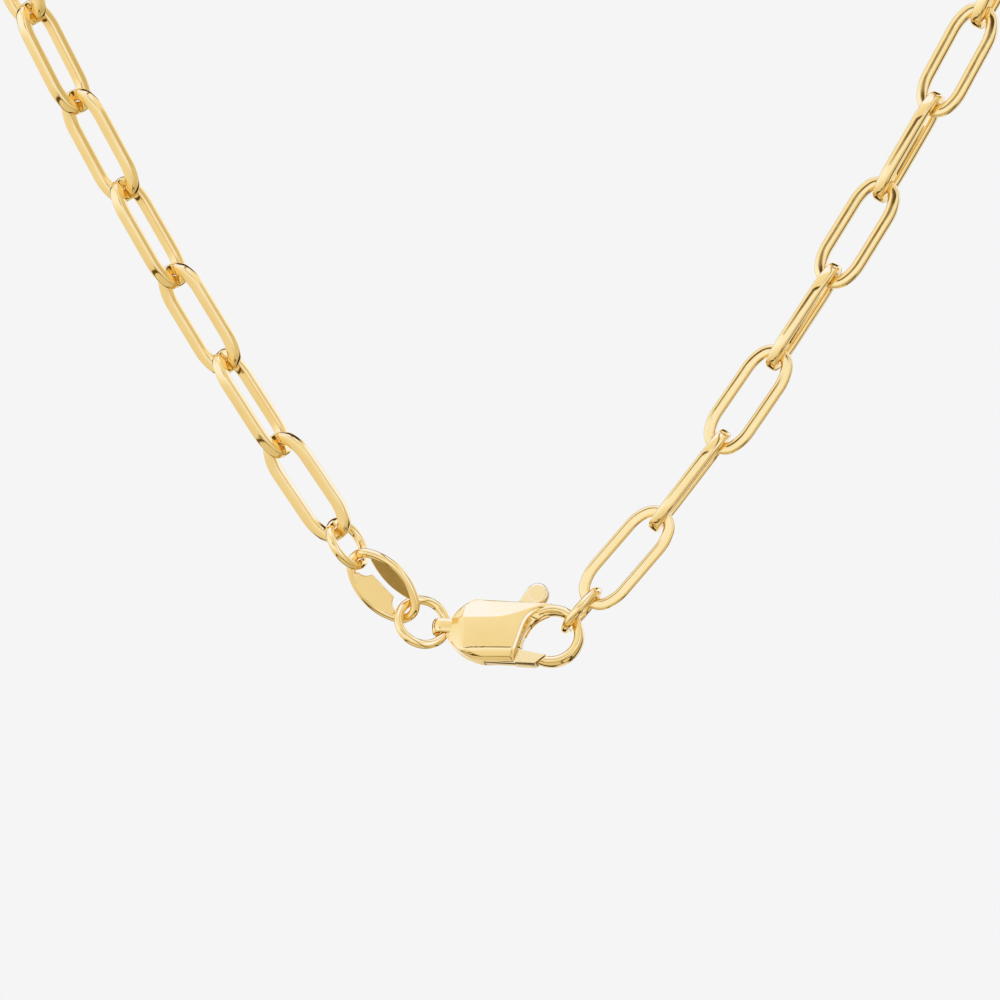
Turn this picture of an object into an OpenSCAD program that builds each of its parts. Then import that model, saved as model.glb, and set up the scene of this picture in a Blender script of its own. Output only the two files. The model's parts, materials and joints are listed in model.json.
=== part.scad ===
// Paperclip chain necklace: long oval links, a cut tag link, three jump rings and a lobster clasp.
// Millimetres, +Z up. The loop hangs in the XZ plane and is seen along +Y.
// The origin is where the loop rests on a neck, under the topmost link.

/* [Links] */
// Length of one link over its ends
link_l = 13.36; // [13.3:0.02:13.4]
// Width of one link
link_w = 5.3; // [5.2:0.05:5.4]
// Thickness of the link's square bar
bar = 1.24; // [1.2:0.01:1.24]
// Outer radius of a link's end
end_r = 2.3; // [2.28:0.01:2.34]
// Outer radius of a link's shoulder, between its straight side and its end
shoulder_r = 5.9; // [5.6:0.1:6.4]
// Radius of the slight crown on each face of the bar
crown_r = 3; // [2.6:0.1:4]
// Reach of the bar's rounded corners from its middle
corner_r = 0.75; // [0.72:0.01:0.77]

/* [Chain] */
// Play between two bars at a joint in the hanging strands
play = 0.22; // [0.2:0.01:0.24]
// Play between two bars at a joint round the neck
bend_play = 0.3; // [0.28:0.01:0.34]
// Number of links in the strand on the right
right_links = 8; // [7:1:8]
// Number of links in the strand on the left
left_links = 7; // [6:1:7]
// Number of links round the neck
neck_links = 25; // [25:1:26]

/* [Jump rings] */
// Middle diameter of a jump ring
ring_d = 5.3; // [5.2:0.05:5.4]
// Wire diameter of a jump ring
ring_wire = 1; // [0.9:0.02:1]

/* [Tag link] */
// Length of the tag link over its ends
tag_l = 9.7; // [9.6:0.05:9.8]
// Width of the tag link
tag_w = 5.9; // [5.6:0.1:6]
// Outer radius of the tag link's ends
tag_end_r = 2.1; // [2:0.05:2.2]
// Thickness of the tag link's round rim
tag_rim = 1; // [0.9:0.02:1]
// Thickness of the two flat plates inside the rim
tag_plate = 0.5; // [0.4:0.05:0.6]
// Width of the slit between the two plates
tag_slit = 0.66; // [0.6:0.02:0.7]
// Radius of the hole at each end of the slit
tag_hole_r = 1.3; // [1.25:0.01:1.35]

/* [Clasp] */
// Thickness of the clasp's housing
clasp_t = 3.2; // [3:0.1:3.4]
// Width of the slot between the housing's two cheeks
slot_t = 1.3; // [1.25:0.01:1.35]
// Thickness of the lever where it runs in the slot
lever_t = 1.1; // [1:0.01:1.1]
// Width of the lever's gate outside the slot
gate_t = 1.8; // [1.6:0.05:1.9]
// Middle radius of the hook
hook_r = 2.9; // [2.86:0.01:2.92]
// Thickness of the hook in the plane of its bend
hook_wire = 1.12; // [1.08:0.01:1.14]
// Width of the hook across that plane
hook_w = 1.9; // [1.8:0.05:2]
// Diameter of the pivot pin
pin_d = 0.8; // [0.7:0.02:0.9]
// Radial clearance of the lever's bore on the pin
pin_fit = 0.03; // [0.02:0.01:0.06]
// Radius of the lever's thumb tab
tab_r = 1.2; // [1.16:0.02:1.24]

/* [Hidden] */
$fn = 64;
strand_pitch = link_l - 2 * bar - play;
neck_pitch = link_l - 2 * bar - bend_play;
link_count = right_links + neck_links + left_links;
all_turn = 360;
quarter = 90;

// Where two bent pieces of one bar meet, one is a hair thinner and laps into the other
hair = 0.006;
lap = 0.06;
lap_angle = 1.5;

// Lowest joint of each strand, in the picture plane above the clasp's underside
right_start = [9.86, 0, 7.77];
left_start = [-17.85, 0, 14.99];

// Slope of each strand, columns: link from the bottom, degrees above the horizontal
right_slope = [[0, 49.3], [1, 52.5], [2, 55.5], [4, 58.3], [6, 61.5], [8, 64]];
left_slope = [[0, 56], [5, 63], [7, 65.5]];

// Turn of the links about their own length, columns: link along the chain, degrees;
// every other link is a quarter turn further on
link_turn = [[0, -5], [2, -12], [4, -17], [7, -18], [33, -45], [35, -52], [37, -55], [39, -62]];

// Directions and small helpers
function heading(a) = [cos(a), 0, sin(a)];
function unit(v) = v / norm(v);
function right_dir(i) = heading(lookup(i, right_slope));
function left_dir(i) = heading(180 - lookup(i, left_slope));
function mid(a, b) = (a + b) / 2;
function slope_of(v) = atan2(v[2], v[0]);

// Joints of the two strands, from the clasp upwards
right_joints = [for (i = 0, p = right_start; i <= right_links;
                     p = p + strand_pitch * right_dir(i), i = i + 1) p];
left_joints = [for (i = 0, p = left_start; i <= left_links;
                    p = p + strand_pitch * left_dir(i), i = i + 1) p];

// The links round the neck turn by the same angle at each joint, which closes the gap between
// the strands. The angle is halved towards its true value, because no formula gives it.
neck_chord = left_joints[left_links] - right_joints[right_links];
function chord_of(a) = neck_pitch * sin(neck_links * a / 2) / sin(a / 2);
function solve_turn(low, high, steps) = steps == 0 ? mid(low, high)
    : chord_of(mid(low, high)) > norm(neck_chord) ? solve_turn(mid(low, high), high, steps - 1)
    : solve_turn(low, mid(low, high), steps - 1);
neck_turn = solve_turn(all_turn / 2 / neck_links, all_turn / neck_links, 40);
neck_start = slope_of(neck_chord) - (neck_links - 1) * neck_turn / 2;
function neck_dir(i) = heading(neck_start + i * neck_turn);
neck_joints = [for (i = 0, p = right_joints[right_links]; i <= neck_links;
                    p = p + neck_pitch * neck_dir(i), i = i + 1) p];

// Every joint in order: up the right strand, round the neck and down the left strand
joints = concat(right_joints, [for (i = [1 : neck_links]) neck_joints[i]],
                [for (i = [left_links - 1 : -1 : 0]) left_joints[i]]);
function link_mid(k) = mid(joints[k], joints[k + 1]);
function link_slope(k) = slope_of(joints[k + 1] - joints[k]);
function link_roll(k) = lookup(k, link_turn) + quarter * (k % 2);
function link_name(k) = str("link_", k < 9 ? "0" : "", k + 1);

// The loop rests on the inner side of its topmost link
top_link = right_links + floor(neck_links / 2);
rest_drop = link_w / 2 * abs(cos(link_roll(top_link))) + bar / 2 * abs(sin(link_roll(top_link)));
rest_point = link_mid(top_link) - [0, 0, rest_drop];

// The clasp's own frame has the pivot at its origin, x along the clasp and z up. The clasp leans:
// its top is tilted away from the viewer and its hook end is turned towards the viewer.
clasp_tilt = 20;
clasp_turn = 8;
pivot = [-0.21, -0.44, 3.02];
clasp_pose = [-clasp_tilt, 0, -clasp_turn];
hook_mid = [5.6, 0, 0.45];
function lean(v) = [v[0], v[2] * sin(clasp_tilt), v[2] * cos(clasp_tilt)];
function swing(v) = [v[0] * cos(clasp_turn) + v[1] * sin(clasp_turn),
                     v[1] * cos(clasp_turn) - v[0] * sin(clasp_turn), v[2]];
function from_clasp(v) = pivot + swing(lean(v));

// Tag link: its middle, its slope and its roll
tag_mid = [-12.72, 0.6, 8.83];
tag_slope = 134;
tag_roll = -20;
seat_gap = 0.1;
ring_seat = tag_l / 2 - tag_rim - seat_gap - ring_wire / 2;
tag_upper = tag_mid + ring_seat * heading(tag_slope);

// Jump rings: middle and normal of each one
link_seat = ring_wire / 2 + play / 2;
ring_1_top = left_start + link_seat * left_dir(0);
ring_1_shift = [0.04, 0, 0];
ring_1_mid = mid(ring_1_top, tag_upper) + ring_1_shift;
ring_1_roll = 61;
function rolled_normal(up, roll) = let (side = cross(up, [0, -1, 0]))
    unit(sin(roll) * side + cos(roll) * cross(side, up));
ring_1_normal = rolled_normal(unit(ring_1_top - tag_upper), ring_1_roll);
ring_2_mid = [-8.5, 0.4, 4.93];
ring_2_slope = 149;
ring_2_roll = 32;
ring_2_normal = rolled_normal(heading(ring_2_slope), ring_2_roll);
hook_seat_angle = 42;
hook_seat = from_clasp(hook_mid + hook_r * heading(hook_seat_angle));
link_end = right_start - (bar + play) / 2 * right_dir(0);
ring_3_mid = hook_seat + (norm(link_end - hook_seat) + (hook_wire - bar) / 2) / 2
    * unit(link_end - hook_seat);
ring_3_facing = [-0.1, -0.99, 0.1];
ring_3_normal = unit(cross(link_end - hook_seat, ring_3_facing));

// Section of the bar: a square with crowned faces and rounded corners, drawn in by a step
module bar_section(step) {
    crown_off = crown_r - bar / 2 + step;
    intersection() {
        translate([crown_off, 0]) circle(crown_r);
        translate([-crown_off, 0]) circle(crown_r);
        translate([0, crown_off]) circle(crown_r);
        translate([0, -crown_off]) circle(crown_r);
        circle(corner_r - step);
    }
}

// One link in the XY plane, its length along Y. Its sides and ends are a hair thinner than its
// shoulders and reach a little way into them.
module link() {
    end_y = link_l / 2 - end_r;
    shoulder_x = link_w / 2 - shoulder_r;
    shoulder_rise = sqrt(pow(shoulder_r - end_r, 2) - pow(shoulder_x, 2));
    side_y = end_y - shoulder_rise;
    shoulder_angle = atan2(shoulder_rise, -shoulder_x);
    end_angle = shoulder_angle - lap_angle;
    for (side = [0, 1]) mirror([side, 0, 0]) {
        translate([link_w / 2 - bar / 2, side_y + lap, 0]) rotate([quarter, 0, 0])
            linear_extrude(2 * (side_y + lap)) bar_section(hair);
        for (top = [0, 1]) mirror([0, top, 0]) translate([shoulder_x, side_y, 0])
            rotate_extrude(angle = shoulder_angle) translate([shoulder_r - bar / 2, 0])
                bar_section(0);
    }
    for (top = [0, 1]) mirror([0, top, 0]) translate([0, end_y, 0]) rotate([0, 0, end_angle])
        rotate_extrude(angle = 180 - 2 * end_angle) translate([end_r - bar / 2, 0])
            bar_section(hair);
}

// Puts a flat piece with its length along a slope in the picture plane, rolled about that length
module along(middle, slope, roll) {
    translate(middle - rest_point) rotate([quarter, 0, 0]) rotate([0, 0, slope - quarter])
        rotate([0, roll, 0]) children();
}

module chain_link(k) {
    color("gold") along(link_mid(k), link_slope(k), link_roll(k)) link();
}

// A closed round ring about a middle and a normal
module jump_ring(middle, normal) {
    color("gold") translate(middle - rest_point)
        rotate([0, acos(normal[2]), atan2(normal[1], normal[0])])
            rotate_extrude() translate([ring_d / 2, 0]) circle(d = ring_wire);
}

// Radius of the tag's long sides, which meet its end arcs smoothly
tag_end_y = tag_l / 2 - tag_end_r;
tag_side_r = (pow(tag_w / 2, 2) + pow(tag_end_y, 2) - pow(tag_end_r, 2)) / (tag_w - 2 * tag_end_r);
tag_side_x = tag_side_r - tag_w / 2;
tag_side_angle = atan2(tag_end_y, tag_side_x);
tag_hole_y = 2.95;
tag_slit_shift = tag_slit / 2;

// Flat outline along the middle of the tag's rim
module tag_outline() {
    inset = tag_rim / 2;
    side_top = (tag_side_r - inset) * sin(tag_side_angle);
    intersection() {
        translate([tag_side_x, 0]) circle(tag_side_r - inset);
        translate([-tag_side_x, 0]) circle(tag_side_r - inset);
        square([tag_w, 2 * side_top], center = true);
    }
    for (end = [-1, 1]) translate([0, end * tag_end_y]) circle(tag_end_r - inset);
}

// Opening beside the middle of the tag: a slit that widens into a hole at each end
module tag_opening() {
    translate([tag_slit_shift, 0]) square([tag_slit, 2 * tag_hole_y], center = true);
    for (end = [0, 1]) mirror([0, end]) translate([tag_slit_shift, tag_hole_y]) {
        circle(tag_hole_r);
        translate([-tag_hole_r, 0]) square([2 * tag_hole_r, tag_hole_r]);
    }
}

// The tag link in the XY plane: a round rim and two lens-shaped plates with a slit between them
module tag_shape() {
    end_angle = tag_side_angle - lap_angle;
    for (side = [0, 1]) mirror([side, 0, 0]) translate([-tag_side_x, 0, 0])
        rotate([0, 0, -tag_side_angle]) rotate_extrude(angle = 2 * tag_side_angle)
            translate([tag_side_r - tag_rim / 2, 0]) circle(d = tag_rim);
    for (top = [0, 1]) mirror([0, top, 0]) translate([0, tag_end_y, 0])
        rotate([0, 0, end_angle]) rotate_extrude(angle = 180 - 2 * end_angle)
            translate([tag_end_r - tag_rim / 2, 0]) circle(d = tag_rim - 2 * hair);
    translate([0, 0, -tag_plate / 2]) linear_extrude(tag_plate) difference() {
        tag_outline();
        tag_opening();
    }
}

module tag_link() {
    color("goldenrod") along(tag_mid, tag_slope, tag_roll) tag_shape();
}

// Puts a piece drawn about the pivot into the hanging clasp
module in_clasp() {
    translate(pivot - rest_point) rotate([0, 0, clasp_pose[2]]) rotate([clasp_pose[0], 0, 0])
        children();
}

// A flat outline in the clasp's own x and z, given a thickness about its middle plane
module upright(thickness) {
    rotate([quarter, 0, 0]) linear_extrude(thickness, center = true) children();
}

// Side view of the housing: round at its tip, straight along the top and cut away round the
// hook's opening
cheek_low = -2.6;
cheek_top = 4.22;
top_slope = -3.5;
end_mid = [-1.3, 0.15];
end_r_upper = 4.45;
belly_mid = [-0.4, 3.6];
belly_r = 6.35;
rim_lap = 0.03;
rim_r = hook_r + rim_lap;
brow_slope = 17;
brow = [hook_mid[0] - rim_r * cos(brow_slope), hook_mid[2] + rim_r * sin(brow_slope)];
far = 8;

module below_top_edge() {
    translate([0, cheek_top]) rotate(top_slope) translate([-far, -far]) square([2 * far, far]);
}

module housing_outline() {
    difference() {
        intersection() {
            union() {
                translate(end_mid) circle(end_r_upper);
                translate([end_mid[0], -far]) square([hook_mid[0] - end_mid[0], 2 * far]);
            }
            union() {
                translate(belly_mid) circle(belly_r);
                translate([belly_mid[0], cheek_low]) square([far, far]);
            }
            translate([-far, cheek_low]) square([2 * far, far]);
            below_top_edge();
        }
        translate([hook_mid[0], hook_mid[2]]) circle(rim_r);
        translate(brow) rotate(-brow_slope) translate([0, -far]) square([far, far]);
    }
}

// Views from above and from the end that round the housing's faces
plan_r = 30;
dome_r = 9;
dome_z = 0.8;
module housing_plan() {
    intersection() {
        translate([0, clasp_t / 2 - plan_r]) circle(plan_r, $fn = 360);
        translate([0, plan_r - clasp_t / 2]) circle(plan_r, $fn = 360);
    }
}

module housing_end() {
    intersection() {
        translate([clasp_t / 2 - dome_r, dome_z]) circle(dome_r, $fn = 180);
        translate([dome_r - clasp_t / 2, dome_z]) circle(dome_r, $fn = 180);
    }
}

// Room inside the housing for the lever and its swing
slot_left = -1.65;
gate_slot_right = 3.3;
tab_slot_left = -0.7;
tab_slot_right = 4.6;
tab_slot_low = 2.3;
slot_overlap = 0.1;
module slot_outline() {
    translate([slot_left, -far]) square([gate_slot_right - slot_left, far + slot_overlap]);
    translate([slot_left, 0]) square([tab_slot_right - slot_left, tab_slot_low + slot_overlap]);
    translate([tab_slot_left, tab_slot_low]) square([tab_slot_right - tab_slot_left, far]);
}

// Loop at the housing's tip that holds a jump ring: a short sleeve with a long hole
eye_mid = [-6.35, 0, 1.4];
eye_hole_r = 0.75;
eye_wall = 0.32;
eye_h = 1.5;
eye_shift = 0.5;
eye_shank = 1.2;
module eye_outline(radius, length) {
    circle(radius);
    translate([0, -radius]) square([length, 2 * radius]);
}

// The slanting cut between the hook's tip and the gate, and each side of it
cut_mid = [4.66, -2.47];
cut_slope = 39.5;
cut_gap = 0.13;
tip_room_back = 1.5;
tip_room = [2.7, 2];
module gate_side() {
    translate(cut_mid) rotate(cut_slope) translate([-tip_room_back, 0]) square(tip_room);
}

module hook_side() {
    translate(cut_mid) rotate(cut_slope) translate([-far / 2, cut_gap - far]) square([far, far]);
}

// The hook's bar has flat cheeks and round edges
module hook_section() {
    side = (hook_w - hook_wire) / 2;
    for (end = [-1, 1]) translate([0, end * side]) circle(d = hook_wire);
    square([hook_wire, 2 * side], center = true);
}

// The hook runs on down the housing's cut edge as two lips, which thin out towards the pivot.
// The throat is a wider arc that meets the hook's inner side smoothly.
hook_start = -125;
hook_end = 178;
throat_r = 3.6;
throat_angle = 115;
throat_shift = hook_r - hook_wire / 2 - throat_r - rim_lap;
throat_mid = [hook_mid[0] + throat_shift * cos(throat_angle),
              hook_mid[2] + throat_shift * sin(throat_angle)];
module lip_outline() {
    intersection() {
        square([tab_slot_right, far]);
        translate(throat_mid) circle(throat_r);
    }
}

module hook() {
    difference() {
        translate(hook_mid) rotate([quarter, 0, 0]) rotate([0, 0, hook_start])
            rotate_extrude(angle = hook_end - hook_start) translate([hook_r, 0]) hook_section();
        upright(2 * clasp_t) lip_outline();
    }
}

pin_recess = 0.5;
pin_end_gap = 0.05;
module clasp_body() {
    color("gold") in_clasp() difference() {
        union() {
            intersection() {
                upright(clasp_t) housing_outline();
                translate([0, 0, -far]) linear_extrude(2 * far) housing_plan();
                rotate([quarter, 0, quarter]) linear_extrude(2 * far, center = true) housing_end();
            }
            translate(eye_mid - [0, 0, eye_h / 2]) linear_extrude(eye_h)
                eye_outline(eye_hole_r + eye_wall, eye_shank);
            hook();
        }
        translate(eye_mid - [0, 0, eye_h]) linear_extrude(2 * eye_h) {
            eye_outline(eye_hole_r, eye_shift);
            translate([eye_shift, 0]) circle(eye_hole_r);
        }
        upright(slot_t) slot_outline();
        upright(2 * clasp_t) gate_side();
        rotate([quarter, 0, 0])
            cylinder(d = pin_d + 2 * pin_fit, h = slot_t + 2 * pin_recess, center = true);
    }
}

// Side view of the lever: boss, gate, thumb tab and a web between them that closes the slot's mouth
boss_r = 1;
tab_mid = [3.83, 5.16];
flare_angle = 147;
gate_low = [[-1.5, -2.6], [4.1, -2.87]];
gate_high = [[5.4, -1.9], [2.55, -1.36]];
gate_root = [[0.6, 0.6], [-boss_r, 0]];
tab_arm = [[-0.7, 0.7], [0.9, -0.3], [4.1, 3.75]];
tab_flare = [tab_mid + tab_r * [cos(flare_angle), sin(flare_angle)], [1.95, 4.35]];
web = [[0.6, 0.4], [2.3, -1.3], [2.7, -1.3], [3.2, 1.7], [3.2, 2.5]];
web_inset = 0.08;
module lever_web() {
    difference() {
        polygon(web);
        translate(throat_mid) circle(throat_r + web_inset);
    }
}

module lever_outline() {
    difference() {
        union() {
            circle(r = boss_r);
            polygon(concat(gate_low, gate_high, gate_root));
            polygon(concat(tab_arm, tab_flare));
            translate(tab_mid) circle(r = tab_r);
        }
        hook_side();
    }
}

// The wide part of the lever starts just outside the housing's cut edge
gate_gap = 0.16;
module clasp_lever() {
    color("khaki") in_clasp() difference() {
        union() {
            upright(lever_t) {
                lever_outline();
                lever_web();
            }
            upright(gate_t) intersection() {
                lever_outline();
                translate(brow) rotate([0, 0, -brow_slope]) translate([gate_gap, -far])
                    square([far, far]);
            }
        }
        rotate([quarter, 0, 0]) cylinder(d = pin_d + 2 * pin_fit, h = 2 * clasp_t, center = true);
    }
}

module clasp_pin() {
    color("gold") in_clasp() rotate([quarter, 0, 0])
        cylinder(d = pin_d, h = slot_t + 2 * (pin_recess - pin_end_gap), center = true);
}

for (k = [0 : link_count - 1]) chain_link(k);
jump_ring(ring_1_mid, ring_1_normal);  // jump_ring_1
tag_link();
jump_ring(ring_2_mid, ring_2_normal);  // jump_ring_2
clasp_body();
clasp_pin();
clasp_lever();
jump_ring(ring_3_mid, ring_3_normal);  // jump_ring_3
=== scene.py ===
# %% [markdown]
# This notebook dresses a gold paperclip chain necklace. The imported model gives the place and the
# size of every piece; each cell below makes one of them again as a smooth, polished surface, and
# gives it a finish. Everything stays in metres, in the model's own frame.

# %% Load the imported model
import json
import math

import bmesh
import bpy
import numpy as np
from mathutils import Matrix, Vector


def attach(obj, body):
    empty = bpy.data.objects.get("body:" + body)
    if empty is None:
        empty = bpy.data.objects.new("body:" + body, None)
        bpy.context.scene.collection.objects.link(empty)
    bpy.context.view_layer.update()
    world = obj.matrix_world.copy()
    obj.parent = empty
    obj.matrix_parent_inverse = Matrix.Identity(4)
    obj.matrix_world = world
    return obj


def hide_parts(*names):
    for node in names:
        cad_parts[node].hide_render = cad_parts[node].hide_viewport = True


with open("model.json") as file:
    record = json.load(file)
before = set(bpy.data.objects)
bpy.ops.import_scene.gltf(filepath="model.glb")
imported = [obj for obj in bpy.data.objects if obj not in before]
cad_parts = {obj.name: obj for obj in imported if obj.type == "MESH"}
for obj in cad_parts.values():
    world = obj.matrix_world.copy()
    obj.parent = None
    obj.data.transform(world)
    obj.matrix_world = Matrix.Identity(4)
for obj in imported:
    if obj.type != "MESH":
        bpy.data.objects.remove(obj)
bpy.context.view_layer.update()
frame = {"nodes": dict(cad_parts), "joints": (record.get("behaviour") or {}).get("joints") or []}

scene = bpy.context.scene
print("nodes loaded:", len(frame["nodes"]))

# %% [markdown]
# The camera comes first, because every finish is judged through it. The photograph is taken level
# and square on, so a long lens at 0.8 m keeps the strands from spreading. The focal length follows
# from the real width of the picture: 1000 pixels of 0.10685 mm at the chain.

# %% Camera
PICTURE_WIDTH = 0.10685
CAMERA_WAY = 0.8
SENSOR = 36.0
NEAR_CLIP = 0.01
picture_mid = Vector((-0.0012125, 0, -0.15332))
camera_data = bpy.data.cameras.new("camera")
camera_data.sensor_width = SENSOR
camera_data.lens = SENSOR * CAMERA_WAY / PICTURE_WIDTH
camera_data.clip_start = NEAR_CLIP
camera = bpy.data.objects.new("camera", camera_data)
camera.location = picture_mid - Vector((0, CAMERA_WAY, 0))
camera.rotation_euler = (math.radians(90), 0, 0)
scene.collection.objects.link(camera)
scene.camera = camera
print("lens", round(camera_data.lens, 1), "mm")

# %% [markdown]
# Modelling in millimetres keeps the numbers readable. A matrix then puts a finished mesh in its
# place and shrinks it to metres in one go, so its object can stay at the origin. One helper does
# that for every piece: it turns the faces outwards, shades them smooth apart from the large flat
# ones, and tells the frame which body carries the piece and which finish slot it takes. The small
# helpers before it pick corners out of an operator's result, find the edges of a ring, bevel
# edges, and cut a piece along a plane and close the cut.

# %% Helpers for making a piece
MM = Matrix.Scale(0.001, 4)
SMALL_AREA = 0.1
MERGE_GAP = 0.0005


def verts_in(geom):
    return [g for g in geom if isinstance(g, bmesh.types.BMVert)]


def edges_among(bm, verts):
    chosen = set(verts)
    return [e for e in bm.edges if e.verts[0] in chosen and e.verts[1] in chosen]


def bevel_edges(bm, edges, width, segments=3):
    bmesh.ops.bevel(bm, geom=edges, offset=width, offset_type="OFFSET", segments=segments,
                    profile=0.5, affect="EDGES", material=-1)


def cut_along(bm, spot, way):
    cut = bmesh.ops.bisect_plane(bm, geom=bm.verts[:] + bm.edges[:] + bm.faces[:],
                                 plane_co=spot, plane_no=way, clear_outer=True)
    rim = [g for g in cut["geom_cut"] if isinstance(g, bmesh.types.BMEdge)]
    if rim:
        bmesh.ops.holes_fill(bm, edges=rim)
    return rim


def keep_piece(bm, name, place, finish, body="chain", flat_above=60):
    bmesh.ops.remove_doubles(bm, verts=bm.verts, dist=MERGE_GAP)
    bmesh.ops.recalc_face_normals(bm, faces=bm.faces)
    for face in bm.faces:
        face.smooth = len(face.verts) <= 4 or face.calc_area() < SMALL_AREA
    bmesh.ops.transform(bm, matrix=place @ MM, verts=bm.verts)
    for edge in bm.edges:
        if len(edge.link_faces) == 2 and edge.calc_face_angle() > math.radians(flat_above):
            edge.smooth = False
    mesh = bpy.data.meshes.new(name)
    bm.to_mesh(mesh)
    bm.free()
    mesh.materials.append(finish)
    piece = bpy.data.objects.new(name, mesh)
    scene.collection.objects.link(piece)
    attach(piece, body)
    return piece


# %% [markdown]
# A link or a ring may hang at any angle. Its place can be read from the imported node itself: the
# three directions in which its surface spreads least, more and most, and the middle of its reach
# along each. For a link these are its normal, its width and its length. Summing over triangles
# rather than corners keeps the directions right however the node was meshed. A triangle's spread
# is known exactly: nine parts of it come from its middle and one from each of its corners.

# %% Measure how a node lies
def spread_of(node):
    mesh = frame["nodes"][node].data
    mesh.calc_loop_triangles()
    corners = np.empty(len(mesh.vertices) * 3)
    mesh.vertices.foreach_get("co", corners)
    corners = corners.reshape(-1, 3)
    index = np.empty(len(mesh.loop_triangles) * 3, dtype=np.int32)
    mesh.loop_triangles.foreach_get("vertices", index)
    a, b, c = (corners[index[k::3]] for k in range(3))
    area = np.linalg.norm(np.cross(b - a, c - a), axis=1) / 2
    middle = (a + b + c) / 3
    centre = (middle * area[:, None]).sum(0) / area.sum()
    moment = np.zeros((3, 3))
    for part, weight in ((middle, 9), (a, 1), (b, 1), (c, 1)):
        arm = part - centre
        moment += weight / 12 * (arm * area[:, None]).T @ arm
    ways = np.linalg.eigh(moment)[1]
    reach = corners @ ways
    return ways @ ((reach.min(0) + reach.max(0)) / 2), ways


def place_of(node):
    centre, ways = spread_of(node)
    normal, width, length = (Vector(ways[:, k]) for k in range(3))
    if width.cross(length).dot(normal) < 0:
        normal = -normal
    turn = Matrix((width, length, normal)).transposed().to_4x4()
    return Matrix.Translation(Vector(centre)) @ turn


print("first link's middle, mm:", [round(v * 1000, 2) for v in place_of("link_01").translation])

# %% [markdown]
# Polished gold has almost no colour of its own apart from how it tints what it reflects, so its
# look comes from the surroundings and from its surface. The finish below is a metal whose tint
# drifts a little, as rolled and cast gold does, with fine polishing lines and a faint unevenness
# in the bump, and roughness that varies where fingers and neighbours have rubbed it. Noise on
# Object coordinates gives all of it at the real size: a scale of 220 to the metre makes patches of
# about 4.5 mm, and one of 2500 makes lines some 0.4 mm apart.

# %% Gold finish
TINT_SCALE, RUB_SCALE, LINE_SCALE, WAVE_SCALE = 220, 700, 2500, 420
LINE_STRETCH, LINE_DEPTH, WAVE_DEPTH = (1, 0.12, 0.6), 0.00002, 0.0002
SMOOTHEST, ROUGHEST = 0.6, 1.5


def gold(name, pale, deep, rough, scratch=0.05, wave=0.03):
    finish = bpy.data.materials.new(name)
    finish.use_nodes = True
    tree = finish.node_tree
    nodes, links = tree.nodes, tree.links
    shader = nodes["Principled BSDF"]
    shader.inputs["Metallic"].default_value = 1.0
    place = nodes.new("ShaderNodeTexCoord")

    def noise(scale, detail, stretch=(1, 1, 1)):
        turn = nodes.new("ShaderNodeMapping")
        turn.inputs["Scale"].default_value = stretch
        links.new(place.outputs["Object"], turn.inputs["Vector"])
        cloud = nodes.new("ShaderNodeTexNoise")
        cloud.inputs["Scale"].default_value = scale
        cloud.inputs["Detail"].default_value = detail
        links.new(turn.outputs["Vector"], cloud.inputs["Vector"])
        return cloud.outputs["Fac"]

    tint = nodes.new("ShaderNodeValToRGB")
    tint.color_ramp.elements[0].position = 0.35
    tint.color_ramp.elements[0].color = (*deep, 1)
    tint.color_ramp.elements[1].position = 0.65
    tint.color_ramp.elements[1].color = (*pale, 1)
    links.new(noise(TINT_SCALE, 2), tint.inputs["Fac"])
    links.new(tint.outputs["Color"], shader.inputs["Base Color"])

    rub = nodes.new("ShaderNodeMapRange")
    rub.inputs["From Min"].default_value = 0.3
    rub.inputs["From Max"].default_value = 0.7
    rub.inputs["To Min"].default_value = rough * SMOOTHEST
    rub.inputs["To Max"].default_value = rough * ROUGHEST
    links.new(noise(RUB_SCALE, 4), rub.inputs["Value"])
    links.new(rub.outputs["Result"], shader.inputs["Roughness"])

    lines = nodes.new("ShaderNodeBump")
    lines.inputs["Strength"].default_value = scratch
    lines.inputs["Distance"].default_value = LINE_DEPTH
    links.new(noise(LINE_SCALE, 3, LINE_STRETCH), lines.inputs["Height"])
    uneven = nodes.new("ShaderNodeBump")
    uneven.inputs["Strength"].default_value = wave
    uneven.inputs["Distance"].default_value = WAVE_DEPTH
    links.new(noise(WAVE_SCALE, 1), uneven.inputs["Height"])
    links.new(lines.outputs["Normal"], uneven.inputs["Normal"])
    links.new(uneven.outputs["Normal"], shader.inputs["Normal"])
    return finish


pale_gold = (0.96, 0.73, 0.34)
deep_gold = (0.94, 0.70, 0.30)
link_gold = gold("link_gold", pale_gold, deep_gold, 0.08)
ring_gold = gold("ring_gold", pale_gold, deep_gold, 0.06)
tag_gold = gold("tag_gold", pale_gold, deep_gold, 0.08)
clasp_gold = gold("clasp_gold", pale_gold, deep_gold, 0.05)
lever_gold = gold("lever_gold", (0.98, 0.79, 0.45), (0.96, 0.76, 0.41), 0.16, 0.12)
print("finishes:", [m.name for m in bpy.data.materials if m.name.endswith("_gold")])

# %% [markdown]
# A link is a bar bent into a long oval. Its section is nearly square, with faces that bulge a
# little and soft corners, so each face catches one broad reflection and each corner a thin one.
# A ring of corners starts as a circle and each corner is pulled in to that section; a power mean
# of the bulged faces and the round corner keeps the change between them soft.

# %% Section of a link's bar
BAR = 1.24
CROWN_R = 3.0
CORNER_R = 0.75
SOFT = 36


def crown_reach(angle):
    off = CROWN_R - BAR / 2
    return -off * math.cos(angle) + math.sqrt((off * math.cos(angle)) ** 2 - off ** 2 + CROWN_R ** 2)


def bar_reach(angle):
    reach = [CORNER_R] + [crown_reach(angle - k * math.pi / 2) for k in range(4)]
    near = [r for r in reach if r > 0]
    return sum(r ** -SOFT for r in near) ** (-1 / SOFT)


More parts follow.
